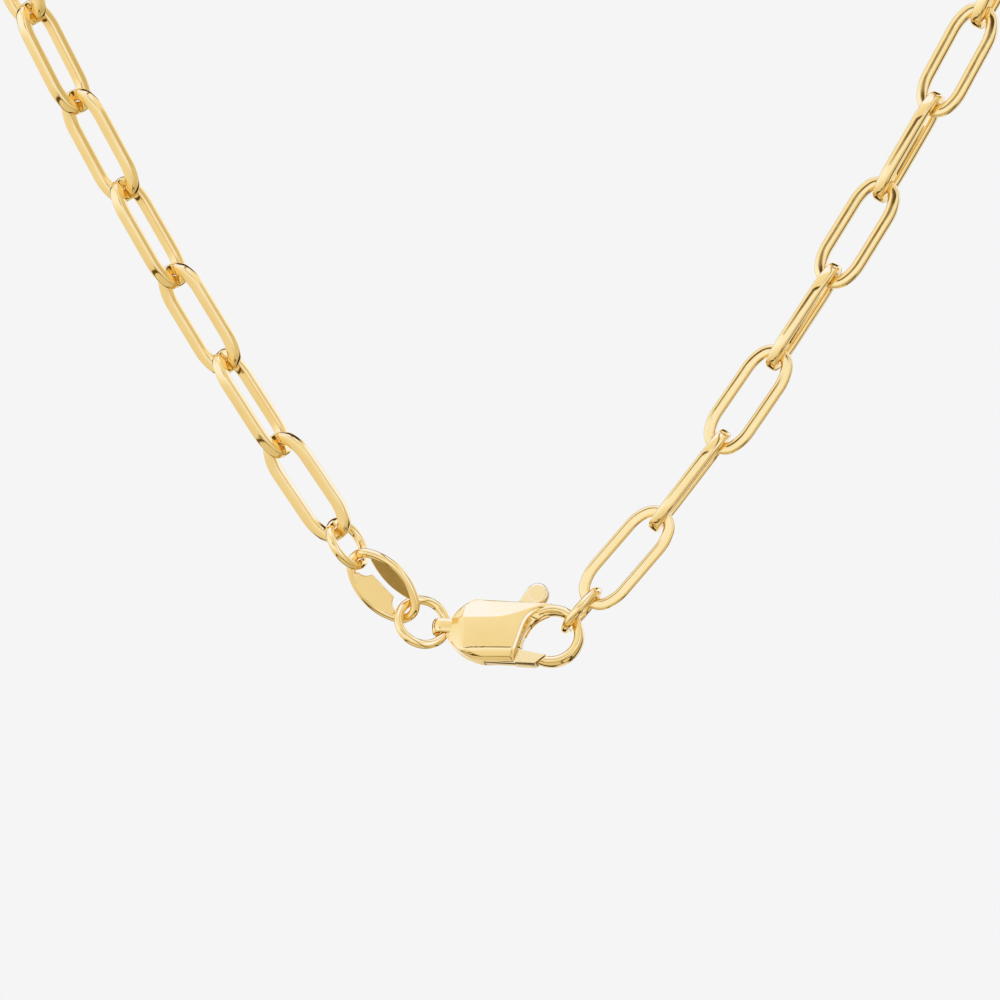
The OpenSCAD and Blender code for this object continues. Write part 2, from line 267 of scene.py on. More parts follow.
def shaped_ring(bm, reach, count):
    ring = bmesh.ops.create_circle(bm, segments=count, radius=1)["verts"]
    for vert in ring:
        vert.co *= reach(math.atan2(vert.co.y, vert.co.x))
    return ring


def section_ring(bm, x, reach, count=40):
    ring = shaped_ring(bm, reach, count)
    bmesh.ops.rotate(bm, verts=ring, matrix=Matrix.Rotation(math.pi / 2, 3, "X"))
    bmesh.ops.translate(bm, verts=ring, vec=(x, 0, 0))
    return ring


print("bar reach to a face and a corner:", round(bar_reach(0), 3), round(bar_reach(math.pi / 4), 3))

# %% [markdown]
# The bent bar could be a curve with a bevel object, but spinning the section about the centre of
# each bend is how the wire is really bent round a former, and the bends meet without a kink. Two
# helpers carry the last ring of corners onwards, one straight and one round a bend, and a third
# closes a bar's end with a face.

# %% Carry a section along
def run_straight(bm, ring, way):
    new = verts_in(bmesh.ops.extrude_edge_only(bm, edges=edges_among(bm, ring))["geom"])
    bmesh.ops.translate(bm, verts=new, vec=way)
    return new


def run_round(bm, ring, centre, degrees, steps, axis=(0, 0, 1)):
    done = bmesh.ops.spin(bm, geom=list(ring) + edges_among(bm, ring), cent=centre, axis=axis,
                          angle=math.radians(degrees), steps=steps, use_duplicate=False)
    return verts_in(done["geom_last"])


def close_end(bm, ring):
    bmesh.ops.contextual_create(bm, geom=edges_among(bm, ring))


# %% [markdown]
# Each half of a link is a straight side, a gentle shoulder, a tight end and a second shoulder.
# The shoulder's centre and angle follow from the two radii, so the arcs are tangent.

# %% One link
LINK_L, LINK_W = 13.36, 5.3
END_R, SHOULDER_R = 2.3, 5.9
SHOULDER_STEPS, END_STEPS = 8, 22
end_y = LINK_L / 2 - END_R
shoulder_x = LINK_W / 2 - SHOULDER_R
shoulder_rise = math.sqrt((SHOULDER_R - END_R) ** 2 - shoulder_x ** 2)
side_y = end_y - shoulder_rise
shoulder_turn = math.degrees(math.atan2(shoulder_rise, -shoulder_x))


def make_link():
    bm = bmesh.new()
    ring = section_ring(bm, LINK_W / 2 - BAR / 2, bar_reach)
    bmesh.ops.translate(bm, verts=ring, vec=(0, -side_y, 0))
    for half in (1, -1):
        ring = run_straight(bm, ring, (0, 2 * half * side_y, 0))
        for centre, turn, steps in (
                ((half * shoulder_x, half * side_y, 0), shoulder_turn, SHOULDER_STEPS),
                ((0, half * end_y, 0), 180 - 2 * shoulder_turn, END_STEPS),
                ((-half * shoulder_x, half * side_y, 0), shoulder_turn, SHOULDER_STEPS)):
            ring = run_round(bm, ring, centre, turn, steps)
    return bm


link_names = sorted(name for name in frame["nodes"] if name.startswith("link_"))
for name in link_names:
    link = keep_piece(make_link(), "gold_" + name, place_of(name), link_gold)
    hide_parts(name)
print("links:", len(link_names), "faces each:", len(link.data.polygons))

# %% [markdown]
# A jump ring is round wire closed on itself. Spinning a circle once round makes it, and the
# doubles are merged where the spin meets its start.

# %% Jump rings
RING_D, RING_WIRE, RING_STEPS = 5.3, 1.0, 96


def make_ring():
    bm = bmesh.new()
    ring = section_ring(bm, RING_D / 2, lambda angle: RING_WIRE / 2, 24)
    bmesh.ops.spin(bm, geom=ring + edges_among(bm, ring), cent=(0, 0, 0), axis=(0, 0, 1),
                   angle=2 * math.pi, steps=RING_STEPS, use_merge=True, use_duplicate=False)
    return bm


for name in ("jump_ring_1", "jump_ring_2", "jump_ring_3"):
    ring_piece = keep_piece(make_ring(), "gold_" + name, place_of(name), ring_gold)
    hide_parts(name)
print("ring faces:", len(ring_piece.data.polygons))

# %% [markdown]
# The tag link is an oval rim of round wire with two thin plates set inside it, a slit apart. The
# rim is swept like a link. The lower plate is one outline, run along the slit, round the hole at
# each end and back under the rim. The upper plate is narrower, because the slit lies beside the
# middle, and its slit side is a slight bow. Both are thickened and bevelled so that their edges
# catch light. They lean a little towards each other, so one is dark while the other is bright.

# %% Tag link
TAG_L, TAG_W, TAG_END_R, TAG_RIM = 9.7, 5.9, 2.1, 1.0
TAG_PLATE, TAG_SLIT, TAG_HOLE_R, TAG_HOLE_Y = 0.42, 0.66, 1.3, 2.95
PLATE_LEAN, BOW_Y = 7, 3.0
PLATE_BEVEL, ARC_STEPS, HOLE_STEPS = 0.1, 24, 8
RIM_SIDE_STEPS, RIM_END_STEPS = 14, 24
tag_end_y = TAG_L / 2 - TAG_END_R
tag_side_r = ((TAG_W / 2) ** 2 + tag_end_y ** 2 - TAG_END_R ** 2) / (TAG_W - 2 * TAG_END_R)
tag_side_x = tag_side_r - TAG_W / 2
tag_side_turn = math.degrees(math.atan2(tag_end_y, tag_side_x))


def make_tag_rim():
    bm = bmesh.new()
    ring = section_ring(bm, TAG_W / 2 - TAG_RIM / 2, lambda angle: TAG_RIM / 2, 24)
    for half in (1, -1):
        for centre, turn, steps in (
                ((-half * tag_side_x, 0, 0), tag_side_turn, RIM_SIDE_STEPS),
                ((0, half * tag_end_y, 0), 180 - 2 * tag_side_turn, RIM_END_STEPS),
                ((half * tag_side_x, 0, 0), tag_side_turn, RIM_SIDE_STEPS)):
            ring = run_round(bm, ring, centre, turn, steps)
    return bm


def run_point(bm, point, centre, degrees, steps):
    done = bmesh.ops.spin(bm, geom=[point], cent=centre, axis=(0, 0, 1),
                          angle=math.radians(degrees), steps=steps, use_duplicate=False)
    return verts_in(done["geom_last"])[0]


def rim_x(y):
    return math.sqrt((tag_side_r - TAG_RIM / 2) ** 2 - y ** 2) - tag_side_x


def close_plate(bm, start, last, end_y):
    rim_turn = math.degrees(2 * math.asin(end_y / (tag_side_r - TAG_RIM / 2)))
    at_rim = bm.verts.new((rim_x(end_y), end_y, 0))
    bm.edges.new((last, at_rim))
    low_rim = run_point(bm, at_rim, (-tag_side_x, 0, 0), -rim_turn, ARC_STEPS)
    bm.edges.new((low_rim, start))
    bmesh.ops.contextual_create(bm, geom=bm.edges[:])
    sheet = bm.faces[:]
    bmesh.ops.translate(bm, verts=bm.verts, vec=(0, 0, -TAG_PLATE / 2))
    top = verts_in(bmesh.ops.extrude_face_region(bm, geom=sheet)["geom"])
    bmesh.ops.translate(bm, verts=top, vec=(0, 0, TAG_PLATE))
    rims = [e for e in bm.edges if abs(e.verts[0].co.z - e.verts[1].co.z) < MERGE_GAP]
    bevel_edges(bm, rims, PLATE_BEVEL)
    return bm


def make_lower_plate():
    bm = bmesh.new()
    hole_x = -TAG_SLIT / 2
    slit_y = TAG_HOLE_Y - math.sqrt(TAG_HOLE_R ** 2 - hole_x ** 2)
    hole_turn = math.degrees(math.atan2(TAG_HOLE_Y - slit_y, TAG_SLIT / 2))
    start = bm.verts.new((hole_x + TAG_HOLE_R, -TAG_HOLE_Y, 0))
    low = run_point(bm, start, (hole_x, -TAG_HOLE_Y, 0), hole_turn, HOLE_STEPS)
    high = bm.verts.new((0, slit_y, 0))
    bm.edges.new((low, high))
    last = run_point(bm, high, (hole_x, TAG_HOLE_Y, 0), hole_turn, HOLE_STEPS)
    return close_plate(bm, start, last, TAG_HOLE_Y)


def make_upper_plate():
    bm = bmesh.new()
    tip_x = rim_x(BOW_Y) - TAG_RIM / 2
    bow = tip_x - TAG_SLIT
    bow_r = (BOW_Y ** 2 + bow ** 2) / (2 * bow)
    bow_turn = math.degrees(2 * math.asin(BOW_Y / bow_r))
    start = bm.verts.new((tip_x, -BOW_Y, 0))
    last = run_point(bm, start, (TAG_SLIT + bow_r, 0, 0), -bow_turn, ARC_STEPS)
    return close_plate(bm, start, last, BOW_Y)


tag_place = place_of("tag_link")
tag_rim = keep_piece(make_tag_rim(), "tag_rim", tag_place, tag_gold)
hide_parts("tag_link")
upper_turn = 0 if (tag_place.to_3x3() @ Vector((1, 0, 0))).z > 0 else math.pi
front_sign = 1 if (tag_place.to_3x3() @ Vector((0, 0, 1))).y < 0 else -1
for name, make_plate, turn in (("tag_plate_upper", make_upper_plate, upper_turn),
                               ("tag_plate_lower", make_lower_plate, upper_turn + math.pi)):
    lean = Matrix.Rotation(-front_sign * math.radians(PLATE_LEAN), 4, "Y")
    plate_place = tag_place @ Matrix.Rotation(turn, 4, "Z") @ lean
    plate = keep_piece(make_plate(), name, plate_place, tag_gold)
    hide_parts("tag_link")
print("tag rim faces:", len(tag_rim.data.polygons), "plate faces:", len(plate.data.polygons))

# %% [markdown]
# The clasp is drawn about its pivot, x along the clasp and z up, and then leaned as it hangs: its
# top is tilted away from the viewer and its hook end is turned a little towards the viewer. The
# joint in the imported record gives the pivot.

# %% The clasp's frame
CLASP_TILT, CLASP_TURN = 20, 8
pivot = Vector(frame["joints"][0]["pos_m"])
clasp_place = (Matrix.Translation(pivot) @ Matrix.Rotation(math.radians(-CLASP_TURN), 4, "Z")
               @ Matrix.Rotation(math.radians(-CLASP_TILT), 4, "X"))
HOOK_MID = (5.6, 0.45)
HOOK_R, HOOK_WIRE, HOOK_W = 2.9, 1.12, 1.9
SLOT_T, LEVER_T, GATE_T = 1.3, 1.1, 1.8
print("pivot, mm:", [round(v * 1000, 2) for v in pivot])

# %% [markdown]
# The housing's two cheeks share one outline: a round tip, a straight top, a flat underside and a
# cut that follows the hook's opening. One function says how far a point is inside that outline.
# It serves twice: it finds the outline itself, and it tells how near the edge a point lies, so
# that the edge can be rounded. A second version reaches further into the opening, for the lip
# that runs down inside the cut.

# %% Outline of a cheek
CHEEK_LOW, CHEEK_TOP, TOP_SLOPE = -2.6, 4.22, math.radians(3.5)
END_MID, END_R_HOUSING = (-1.3, 0.15), 4.45
BELLY_MID, BELLY_R = (-0.4, 3.6), 6.35
RIM_R, BROW_SLOPE = HOOK_R + 0.03, math.radians(17)
THROAT_MID, THROAT_R, LIP_LOW, LIP_END = (6.1325, -0.692), 3.6, 0.55, 5.2
FAR = 9.0
brow = (HOOK_MID[0] - RIM_R * math.cos(BROW_SLOPE), HOOK_MID[1] + RIM_R * math.sin(BROW_SLOPE))


def way_off(x, z, point):
    return math.hypot(x - point[0], z - point[1])


def opening_depth(x, z, lip=False):
    above_brow = (x - brow[0]) * math.sin(BROW_SLOPE) + (z - brow[1]) * math.cos(BROW_SLOPE)
    past_brow = (x - brow[0]) * math.cos(BROW_SLOPE) - (z - brow[1]) * math.sin(BROW_SLOPE)
    cut = min(way_off(x, z, HOOK_MID) - RIM_R, FAR if above_brow > 0 else -past_brow)
    if lip:
        cut = max(cut, min(way_off(x, z, THROAT_MID) - THROAT_R, z - LIP_LOW, LIP_END - x))
    return cut


def underside_depth(x, z):
    return min(z - CHEEK_LOW, BELLY_R - way_off(x, z, BELLY_MID) if x < BELLY_MID[0] else FAR)


def cheek_depth(x, z, lip=False):
    return min(
        (CHEEK_TOP - z) * math.cos(TOP_SLOPE) - x * math.sin(TOP_SLOPE),
        HOOK_MID[0] - x,
        END_R_HOUSING - way_off(x, z, END_MID) if x < END_MID[0] else FAR,
        underside_depth(x, z),
        opening_depth(x, z, lip),
    )


HEART = (0.5, 3.1)
STRIDE, HALVINGS = 0.1, 24


def cheek_reach(angle, lip=False):
    near, away = 0.0, 0.0
    while cheek_depth(HEART[0] + away * math.cos(angle), HEART[1] + away * math.sin(angle), lip) > 0:
        near, away = away, away + STRIDE
    for _ in range(HALVINGS):
        middle = (near + away) / 2
        x, z = HEART[0] + middle * math.cos(angle), HEART[1] + middle * math.sin(angle)
        near, away = (middle, away) if cheek_depth(x, z, lip) > 0 else (near, middle)
    return near


print("brow:", [round(v, 3) for v in brow])

# %% [markdown]
# A polished clasp is not a flat plate: its face is a soft plateau, and bands fall away from it
# above, below and at the tip. The lines between them are the sharp turns in its reflections. The
# upper line is level behind the pivot and rises beyond it. A narrow bevel runs along the opening
# and the underside, and a quarter round closes every edge. Towards the tip the face falls so low
# that it would pass the slot's side, so a least height keeps the cheek solid there.

# %% Thickness of a cheek
HALF_T = 1.6
EDGE_R = 0.2
BLEND, RISE_BLEND = 0.04, 0.6
FULLY_PAST = 20
FACE_MID, BULGE_ALONG, BULGE_UP = (-0.5, 0.6), 70, 50
FADE_WAY = 1.5
BEVEL_WIDE, BEVEL_FALL, BEVEL_BLEND = 0.42, 0.5, 0.02
TOP_LINE, TOP_BEND, TOP_RISE, TOP_FALL = 2.15, 0.6, 0.42, 0.27
LOW_LINE, LOW_FALL = -1.45, 0.42
TIP_X, TIP_FALL, TIP_BLEND = -3.95, 0.4, 0.08
THIN_END = SLOT_T / 2 + 0.04


def soft_past(value, blend):
    if value > FULLY_PAST * blend:
        return value
    return blend * math.log(1 + math.exp(value / blend))


def cheek_face(x, z):
    face = HALF_T - (x - FACE_MID[0]) ** 2 / BULGE_ALONG - (z - FACE_MID[1]) ** 2 / BULGE_UP
    rise = TOP_RISE * soft_past(x - TOP_BEND, RISE_BLEND)
    face -= TOP_FALL * soft_past(z - TOP_LINE - rise, BLEND)
    face -= LOW_FALL * soft_past(LOW_LINE - z, BLEND)
    face -= TIP_FALL * soft_past(TIP_X - x, TIP_BLEND)
    fade = min(1.0, max(0.0, (x - TIP_X) / FADE_WAY))
    rim = min(underside_depth(x, z), opening_depth(x, z))
    face -= BEVEL_FALL * fade * soft_past(BEVEL_WIDE - rim, BEVEL_BLEND)
    edge = max(0.0, EDGE_R - max(0.0, cheek_depth(x, z)))
    return max(THIN_END, face - EDGE_R + math.sqrt(EDGE_R ** 2 - edge ** 2))


print("half thickness at the middle and near the tip:",
      round(cheek_face(0, 1), 2), round(cheek_face(-5, 1), 2))

# %% [markdown]
# Each cheek is made of rings of corners. The first ring follows the lip outline on the slot's
# side, the next ones climb the edge, and the rest move in: first by small steps, so that the round
# edge and the bevel are crisp, then shrinking towards a heart point. Each corner is set to the
# face's height. Three solid blocks between the cheeks make the back of the slot: one behind the
# lever, one behind its tab, and a round one in the slot's mouth. The first two overlap, so their
# outlines differ by a hair, which keeps their corners from being merged.

# %% Housing: two cheeks and the wall behind the slot
RAYS = 240
STEPS_IN = (0.02, 0.05, 0.09, 0.14, 0.2, 0.28, 0.35, 0.4, 0.44, 0.5, 0.58)
SHRINKS = 24
EDGE_SHARES, LIP_STEP = (0.5, 0.85), 0.02
ray_reach = [cheek_reach(2 * math.pi * k / RAYS) for k in range(RAYS)]
lip_reach = [cheek_reach(2 * math.pi * k / RAYS, True) for k in range(RAYS)]


def set_ring(ring, reaches, height):
    for k, vert in enumerate(ring):
        angle = 2 * math.pi * k / RAYS
        x = HEART[0] + reaches[k] * math.cos(angle)
        z = HEART[1] + reaches[k] * math.sin(angle)
        vert.co = (x, -height(x, z), z)


def next_ring(bm, ring):
    loop = [bm.edges.get((ring[k - 1], ring[k])) for k in range(len(ring))]
    grown = bmesh.ops.extrude_edge_only(bm, edges=loop)["geom"]
    new = set(verts_in(grown))
    return [next(e.other_vert(v) for e in v.link_edges if e.other_vert(v) in new) for v in ring]


def make_cheek(bm):
    ring = bmesh.ops.create_circle(bm, segments=RAYS, radius=1)["verts"]
    inner = SLOT_T / 2
    set_ring(ring, lip_reach, lambda x, z: inner)
    bm.faces.new(ring)
    for share in EDGE_SHARES:
        ring = next_ring(bm, ring)
        set_ring(ring, lip_reach,
                 lambda x, z: inner + share * (cheek_face(x, z) - inner - LIP_STEP))
    ring = next_ring(bm, ring)
    set_ring(ring, ray_reach, cheek_face)
    for step in STEPS_IN:
        ring = next_ring(bm, ring)
        set_ring(ring, [reach - step for reach in ray_reach], cheek_face)
    for k in range(1, SHRINKS):
        shrink = 1 - k / SHRINKS
        ring = next_ring(bm, ring)
        set_ring(ring, [(reach - STEPS_IN[-1]) * shrink for reach in ray_reach], cheek_face)
    bm.faces.new(ring)


def add_part(bm, part):
    mesh = bpy.data.meshes.new("part")
    part.to_mesh(mesh)
    part.free()
    bm.from_mesh(mesh)
    bpy.data.meshes.remove(mesh)


def make_slot_wall(share, left_of, above):
    part = bmesh.new()
    ring = bmesh.ops.create_circle(part, segments=RAYS, radius=1)["verts"]
    set_ring(ring, [reach * share for reach in ray_reach], lambda x, z: -SLOT_T / 2)
    sheet = part.faces.new(ring)
    top = verts_in(bmesh.ops.extrude_face_region(part, geom=[sheet])["geom"])
    bmesh.ops.translate(part, verts=top, vec=(0, -SLOT_T, 0))
    cut_along(part, (left_of, 0, 0), (1, 0, 0))
    cut_along(part, (0, 0, above), (0, 0, -1))
    return part


WALL_DEEP, WALL_FROM, WALL_TO = 0.6, 106, 141


def make_throat_wall():
    part = bmesh.new()
    centre = (THROAT_MID[0], 0, THROAT_MID[1])
    bar = bmesh.ops.create_circle(part, segments=24, radius=WALL_DEEP / 2)["verts"]
    for vert in bar:
        vert.co.y *= SLOT_T / WALL_DEEP
    bmesh.ops.translate(part, verts=bar, vec=(THROAT_R + WALL_DEEP / 2, 0, 0))
    bmesh.ops.rotate(part, verts=bar, matrix=Matrix.Rotation(-math.radians(WALL_FROM), 3, "Y"))
    bmesh.ops.translate(part, verts=bar, vec=centre)
    far_end = run_round(part, bar, centre, WALL_TO - WALL_FROM, 16, (0, -1, 0))
    close_end(part, bar)
    close_end(part, far_end)
    return part


SLOT_LEFT, TAB_SLOT_LEFT, TAB_SLOT_LOW = -1.53, -0.7, 2.3
BACK_SHARE, TAB_BACK_SHARE = 0.999, 0.997
housing = bmesh.new()
make_cheek(housing)
bmesh.ops.mirror(housing, geom=housing.verts[:] + housing.edges[:] + housing.faces[:], axis="Y",
                 merge_dist=0)
for part in (make_slot_wall(BACK_SHARE, SLOT_LEFT, -FAR), make_throat_wall(),
             make_slot_wall(TAB_BACK_SHARE, TAB_SLOT_LEFT, TAB_SLOT_LOW)):
    add_part(housing, part)
housing_piece = keep_piece(housing, "clasp_housing", clasp_place, clasp_gold,
                           flat_above=50)
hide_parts("clasp_body")
print("housing faces:", len(housing_piece.data.polygons))

# %% [markdown]
# The hook is a flattened bar bent round the opening. Its tip is cut on a slant where the gate
# closes on it. The tip is made first, as a short arc that a plane cuts and closes, and the rest of
# the bend is spun on from its far end up into the housing. Its section is an oval drawn out
# towards a rectangle: the higher the power, the squarer it is.

# %% Hook
HOOK_START, TIP_END, HOOK_END = -128, -62, 124
CUT_MID, CUT_SLOPE, CUT_BEVEL = (4.66, -2.47), math.radians(39.5), 0.08
HOOK_POWER, HOOK_SIDES = 2.5, 32
hook_centre = (HOOK_MID[0], 0, HOOK_MID[1])
AGAINST_Y = (0, -1, 0)


def squared_oval(wide, high, power):
    def reach(angle):
        across, along = abs(math.cos(angle)) / (wide / 2), abs(math.sin(angle)) / (high / 2)
        return (across ** power + along ** power) ** (-1 / power)

    return reach


def hook_ring(bm, degrees):
    ring = shaped_ring(bm, squared_oval(HOOK_WIRE, HOOK_W, HOOK_POWER), HOOK_SIDES)
    bmesh.ops.translate(bm, verts=ring, vec=(HOOK_R, 0, 0))
    bmesh.ops.rotate(bm, verts=ring, matrix=Matrix.Rotation(-math.radians(degrees), 3, "Y"))
    bmesh.ops.translate(bm, verts=ring, vec=hook_centre)
    return ring


def make_hook_tip():
    bm = bmesh.new()
    ring = hook_ring(bm, HOOK_START)
    run_round(bm, ring, hook_centre, TIP_END - HOOK_START, 16, AGAINST_Y)
    rim = cut_along(bm, (CUT_MID[0], 0, CUT_MID[1]),
                    (-math.sin(CUT_SLOPE), 0, math.cos(CUT_SLOPE)))
    bevel_edges(bm, rim, CUT_BEVEL)
    return bm


hook = make_hook_tip()
root = hook_ring(hook, TIP_END)
root = run_round(hook, root, hook_centre, HOOK_END - TIP_END, 44, AGAINST_Y)
close_end(hook, root)
hook_piece = keep_piece(hook, "clasp_hook", clasp_place, clasp_gold)
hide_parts("clasp_body")
print("hook faces:", len(hook_piece.data.polygons))

# %% [markdown]
# The loop at the housing's tip is a flat strap bent into a U, so its section is a rounded
# rectangle that runs out of the housing, round a half turn, and back in. Its two arms close in
# where they meet the tip, which is thinner than the loop. Each arm is made in two steps, so that a
# line of edges lies near the bend and keeps its shading clean.

# %% Loop at the tip
EYE_MID, EYE_HOLE_R, EYE_WALL, EYE_H, EYE_SHANK = (-6.35, 1.4), 0.71, 0.4, 1.56, 1.2
EYE_NIP = 0.3
ARM_SHARES, STRAP_POWER, STRAP_SIDES = (0.8, 0.2), 2.3, 32


def make_eye():
    bm = bmesh.new()
    first = shaped_ring(bm, squared_oval(EYE_H, EYE_WALL, STRAP_POWER), STRAP_SIDES)
    bmesh.ops.rotate(bm, verts=first, matrix=Matrix.Rotation(math.pi / 2, 3, "Y"))
    bmesh.ops.translate(bm, verts=first, vec=(EYE_SHANK, EYE_HOLE_R + EYE_WALL / 2 - EYE_NIP, 0))
    strap = first
    for share in ARM_SHARES:
        strap = run_straight(bm, strap, (-share * EYE_SHANK, share * EYE_NIP, 0))
    strap = run_round(bm, strap, (0, 0, 0), 180, 24)
    for share in reversed(ARM_SHARES):
        strap = run_straight(bm, strap, (share * EYE_SHANK, share * EYE_NIP, 0))
    close_end(bm, first)
    close_end(bm, strap)
    bmesh.ops.translate(bm, verts=bm.verts, vec=(EYE_MID[0], 0, EYE_MID[1]))
    return bm


loop_piece = keep_piece(make_eye(), "clasp_loop", clasp_place, clasp_gold,
                        flat_above=70)
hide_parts("clasp_body")
print("loop faces:", len(loop_piece.data.polygons))

# %% [markdown]
# The lever is one flat stamping: a boss on the pin, an arm up to the round thumb tab, a longer
# arm out to the gate, which is wider where it fills the gap under the hook, and a web between the
# arms that closes the slot's mouth. Each flat part is an outline given a thickness, and every edge
# is bevelled, as a stamped and tumbled part's are.

# %% Lever
DISC_SIDES, WEB_POINTS = 48, 14
BOSS_R = 1.0
TAB_MID, TAB_R, TAB_T, TAB_FLARE = (3.83, 5.16), 1.2, LEVER_T + 0.06, math.radians(147)
WEB_R, WEB_LOW, WEB_HIGH = THROAT_R + 0.08, math.radians(188), math.radians(142)


def arc_points(middle, radius, angles):
    return [(middle[0] + radius * math.cos(a), middle[1] + radius * math.sin(a)) for a in angles]


def thick_outline(points, thickness, bevel):
    part = bmesh.new()
    face = part.faces.new([part.verts.new((x, -thickness / 2, z)) for x, z in points])
    back = verts_in(bmesh.ops.extrude_face_region(part, geom=[face])["geom"])
    bmesh.ops.translate(part, verts=back, vec=(0, thickness, 0))
    bevel_edges(part, part.edges[:], bevel, 4)
    return part


def disc(middle, radius, thickness, bevel):
    angles = [2 * math.pi * k / DISC_SIDES for k in range(DISC_SIDES)]
    return thick_outline(arc_points(middle, radius, angles), thickness, bevel)


tab_side = arc_points(TAB_MID, TAB_R, [TAB_FLARE])
web_edge = arc_points(THROAT_MID, WEB_R, np.linspace(WEB_LOW, WEB_HIGH, WEB_POINTS))
gate_arm = [(-1.5, -2.6), (3.9, -2.85), (3.9, -1.56), (2.45, -1.35), (0.6, 0.6), (-0.98, 0)]
tab_arm = [(-0.7, 0.7), (0.9, -0.3), (4.1, 3.75), (4.4, 5.2)] + tab_side + [(1.95, 4.35)]
web = web_edge + [(2.6, 1.8), (0.6, 0.4)]
gate = [(1.8, -2.76), (3.98, -2.86), (5.15, -1.87), (2.55, -1.36), (2.25, -1.12)]
lever = bmesh.new()
for part in (disc((0, 0), BOSS_R, LEVER_T, 0.05), thick_outline(gate_arm, LEVER_T, 0.08),
             thick_outline(tab_arm, LEVER_T, 0.2), disc(TAB_MID, TAB_R, TAB_T, 0.3),
             thick_outline(web, LEVER_T, 0.06), thick_outline(gate, GATE_T, 0.1)):
    add_part(lever, part)
lever_piece = keep_piece(lever, "lever", clasp_place, lever_gold, "lever",
                         flat_above=50)
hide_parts("clasp_lever")
print("lever faces:", len(lever_piece.data.polygons))

# %% [markdown]
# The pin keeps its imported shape, which is a plain round rod inside the housing, and takes the
# clasp's finish.

# %% Pin
pin = frame["nodes"]["clasp_pin"]
pin.data.materials.clear()
pin.data.materials.append(clasp_gold)
print("pin slots:", len(pin.material_slots))

# %% [markdown]
# Gold shows what surrounds it. Jewellery is photographed in a pale tent with a bright panel above
# and a few dark gaps, and the thin dark lines along every wire are those gaps. The surroundings
# here are worked out as one brightness for each direction. A ramp by height has a dark line low
# down, a fall from left to right has a dark strip in it, and a dark gap runs round the far side.
# Spots then make the light weaker or stronger, and panels keep it from falling below a least
# light. Each spot and panel is placed by its middle to the east and up, its half width and half
# height, and the near side (-1) or the far one (1). A last ramp turns brightness into colour, from
# the warm brown of a dim room to the cool white of the panel above. The camera itself sees plain
# pale paper in place of all this.

# %% Surroundings
TENT_STRENGTH = 3.0
PAPER_TONE = (0.913, 0.913, 0.913, 1)
SPOT_EDGE = 1.6
SPOTS = ((0.1, (-0.26, 0.36, 0.24, 0.06, -1)), (0.42, (-0.55, -0.58, 0.1, 0.06, -1)),
         (1.6, (0.62, 0.3, 0.1, 0.3, -1)))
PANELS = ((0.84, (0.62, 0.3, 0.24, 0.36, 1)), (0.52, (-0.66, -0.3, 0.2, 0.34, 1)),
          (0.6, (0.24, -0.63, 0.16, 0.13, 1)))
world = bpy.data.worlds.new("tent")
scene.world = world
world.use_nodes = True
tent = world.node_tree
for node in list(tent.nodes):
    tent.nodes.remove(node)
way = tent.nodes.new("ShaderNodeTexCoord")
split = tent.nodes.new("ShaderNodeSeparateXYZ")
tent.links.new(way.outputs["Generated"], split.inputs["Vector"])
EAST, DEPTH, HEIGHT = split.outputs["X"], split.outputs["Y"], split.outputs["Z"]


def calc(kind, *terms):
    node = tent.nodes.new("ShaderNodeMath")
    node.operation = kind
    for k, term in enumerate(terms):
        if isinstance(term, (int, float)):
            node.inputs[k].default_value = term
        else:
            tent.links.new(term, node.inputs[k])
    return node.outputs["Value"]


def ramp_by(source, low, high, stops):
    spread = tent.nodes.new("ShaderNodeMapRange")
    spread.inputs["From Min"].default_value = low
    spread.inputs["From Max"].default_value = high
    tent.links.new(source, spread.inputs["Value"])
    node = tent.nodes.new("ShaderNodeValToRGB")
    ramp = node.color_ramp
    ramp.elements.remove(ramp.elements[0])
    for k, (spot, light) in enumerate(stops):
        part = (spot - low) / (high - low)
        stop = ramp.elements[0] if k == 0 else ramp.elements.new(part)
        stop.position = part
        stop.color = (*light, 1) if isinstance(light, tuple) else (light, light, light, 1)
    tent.links.new(spread.outputs["Result"], node.inputs["Fac"])
    return node.outputs["Color"]


def spot_share(east, height, half_wide, half_high, depth_sign):
    across = calc("DIVIDE", calc("SUBTRACT", EAST, east), half_wide)
    up = calc("DIVIDE", calc("SUBTRACT", HEIGHT, height), half_high)
    off = calc("ADD", calc("MULTIPLY", across, across), calc("MULTIPLY", up, up))
    inside = calc("MINIMUM", 1.0, calc("MAXIMUM", 0.0, calc("SUBTRACT", SPOT_EDGE, off)))
    this_side = calc("GREATER_THAN", calc("MULTIPLY", DEPTH, depth_sign), 0.0)
    return calc("MULTIPLY", inside, this_side)


by_height = ramp_by(HEIGHT, -1, 1, [
    (-1.0, 0.55), (-0.75, 0.56), (-0.73, 0.08), (-0.66, 0.08), (-0.64, 0.57), (-0.45, 0.6),
    (-0.2, 0.7), (0.0, 0.8), (0.3, 0.8), (0.5, 0.68), (0.62, 0.7), (0.82, 0.74), (0.86, 1.0),
    (1.0, 1.0)])
by_side = ramp_by(EAST, -1, 1, [
    (-1.0, 1.0), (-0.6, 1.0), (-0.5, 0.94), (0.28, 0.9), (0.3, 0.34), (0.38, 0.34), (0.4, 0.95),
    (0.75, 0.9), (0.85, 0.65), (1.0, 0.62)])
by_depth = ramp_by(DEPTH, -1, 1, [
    (-1.0, 1.0), (0.49, 1.0), (0.52, 0.05), (0.76, 0.05), (0.79, 1.0), (1.0, 1.0)])
light = calc("MULTIPLY", calc("MULTIPLY", by_height, by_side), by_depth)
for factor, spot in SPOTS:
    change = calc("ADD", 1.0, calc("MULTIPLY", spot_share(*spot), factor - 1))
    light = calc("MULTIPLY", light, change)
for least, panel in PANELS:
    light = calc("MAXIMUM", light, calc("MULTIPLY", spot_share(*panel), least))
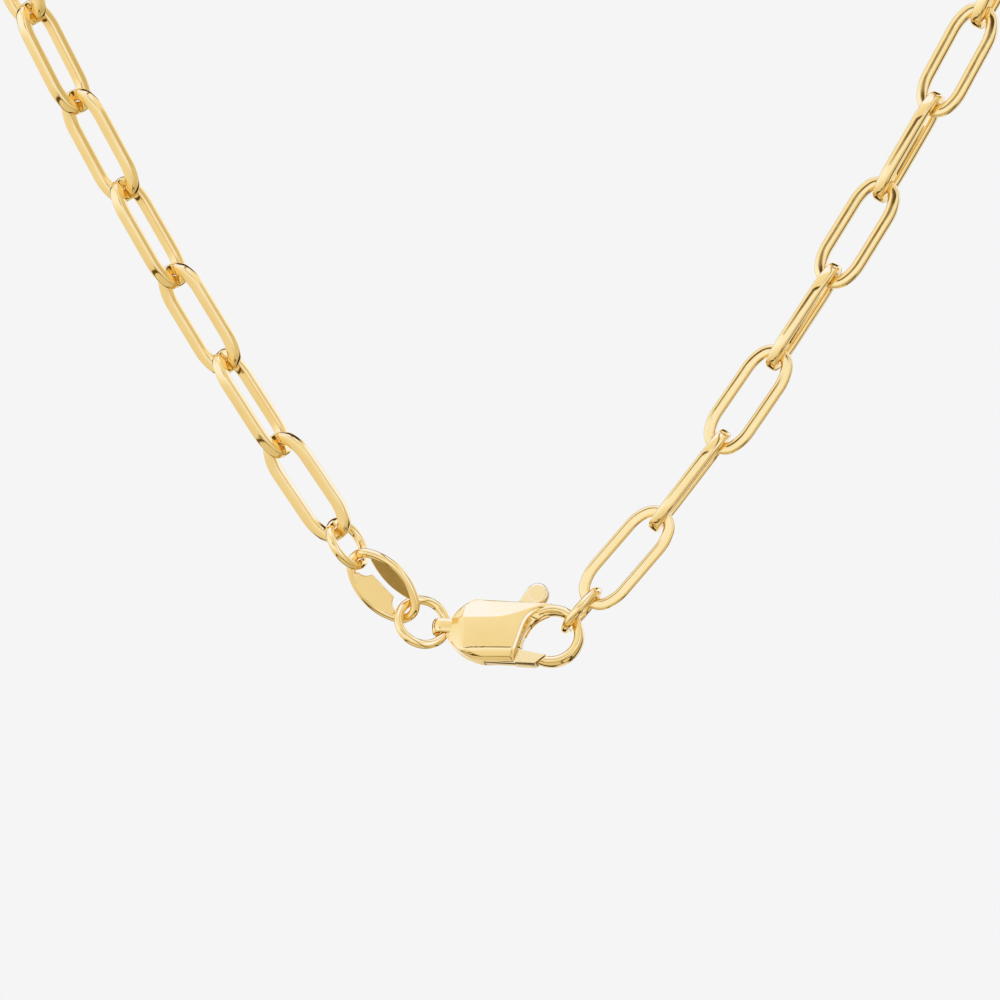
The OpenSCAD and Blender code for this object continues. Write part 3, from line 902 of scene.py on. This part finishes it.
colour = ramp_by(light, 0, 1, [
    (0.0, (0.004, 0.002, 0.001)), (0.08, (0.04, 0.022, 0.008)), (0.27, (0.13, 0.102, 0.052)),
    (0.43, (0.215, 0.192, 0.13)), (0.53, (0.268, 0.247, 0.197)), (0.63, (0.313, 0.308, 0.293)),
    (0.7, (0.338, 0.352, 0.39)), (0.8, (0.35, 0.4, 0.58)), (1.0, (0.36, 0.44, 0.9))])
glow = tent.nodes.new("ShaderNodeBackground")
glow.inputs["Strength"].default_value = TENT_STRENGTH
tent.links.new(colour, glow.inputs["Color"])
plain = tent.nodes.new("ShaderNodeBackground")
plain.inputs["Color"].default_value = PAPER_TONE
seen = tent.nodes.new("ShaderNodeLightPath")
either = tent.nodes.new("ShaderNodeMixShader")
tent.links.new(seen.outputs["Is Camera Ray"], either.inputs["Fac"])
tent.links.new(glow.outputs["Background"], either.inputs[1])
tent.links.new(plain.outputs["Background"], either.inputs[2])
sky = tent.nodes.new("ShaderNodeOutputWorld")
tent.links.new(either.outputs["Shader"], sky.inputs["Surface"])
print("tent nodes:", len(tent.nodes))

# %% [markdown]
# The floor is a plain sheet of paper that glows evenly, as paper lit from behind does. The camera
# sees the same pale tone all round above it, so no horizon shows.

# %% Floor
FLOOR_Z, HALF_WIDE = -0.26, 1.2
paper = bpy.data.materials.new("paper")
paper.use_nodes = True
sheet_nodes = paper.node_tree.nodes
sheet_nodes.remove(sheet_nodes["Principled BSDF"])
even = sheet_nodes.new("ShaderNodeEmission")
even.inputs["Color"].default_value = PAPER_TONE
paper.node_tree.links.new(even.outputs["Emission"], sheet_nodes["Material Output"].inputs["Surface"])
sheet = bmesh.new()
bmesh.ops.create_grid(sheet, x_segments=1, y_segments=1, size=HALF_WIDE)
bmesh.ops.translate(sheet, verts=sheet.verts, vec=(0, 0, FLOOR_Z))
floor_mesh = bpy.data.meshes.new("floor")
sheet.to_mesh(floor_mesh)
sheet.free()
floor_mesh.materials.append(paper)
floor = bpy.data.objects.new("floor", floor_mesh)
scene.collection.objects.link(floor)
floor.visible_glossy = False
scene.view_settings.view_transform = "Standard"
print("floor height, m:", FLOOR_Z)
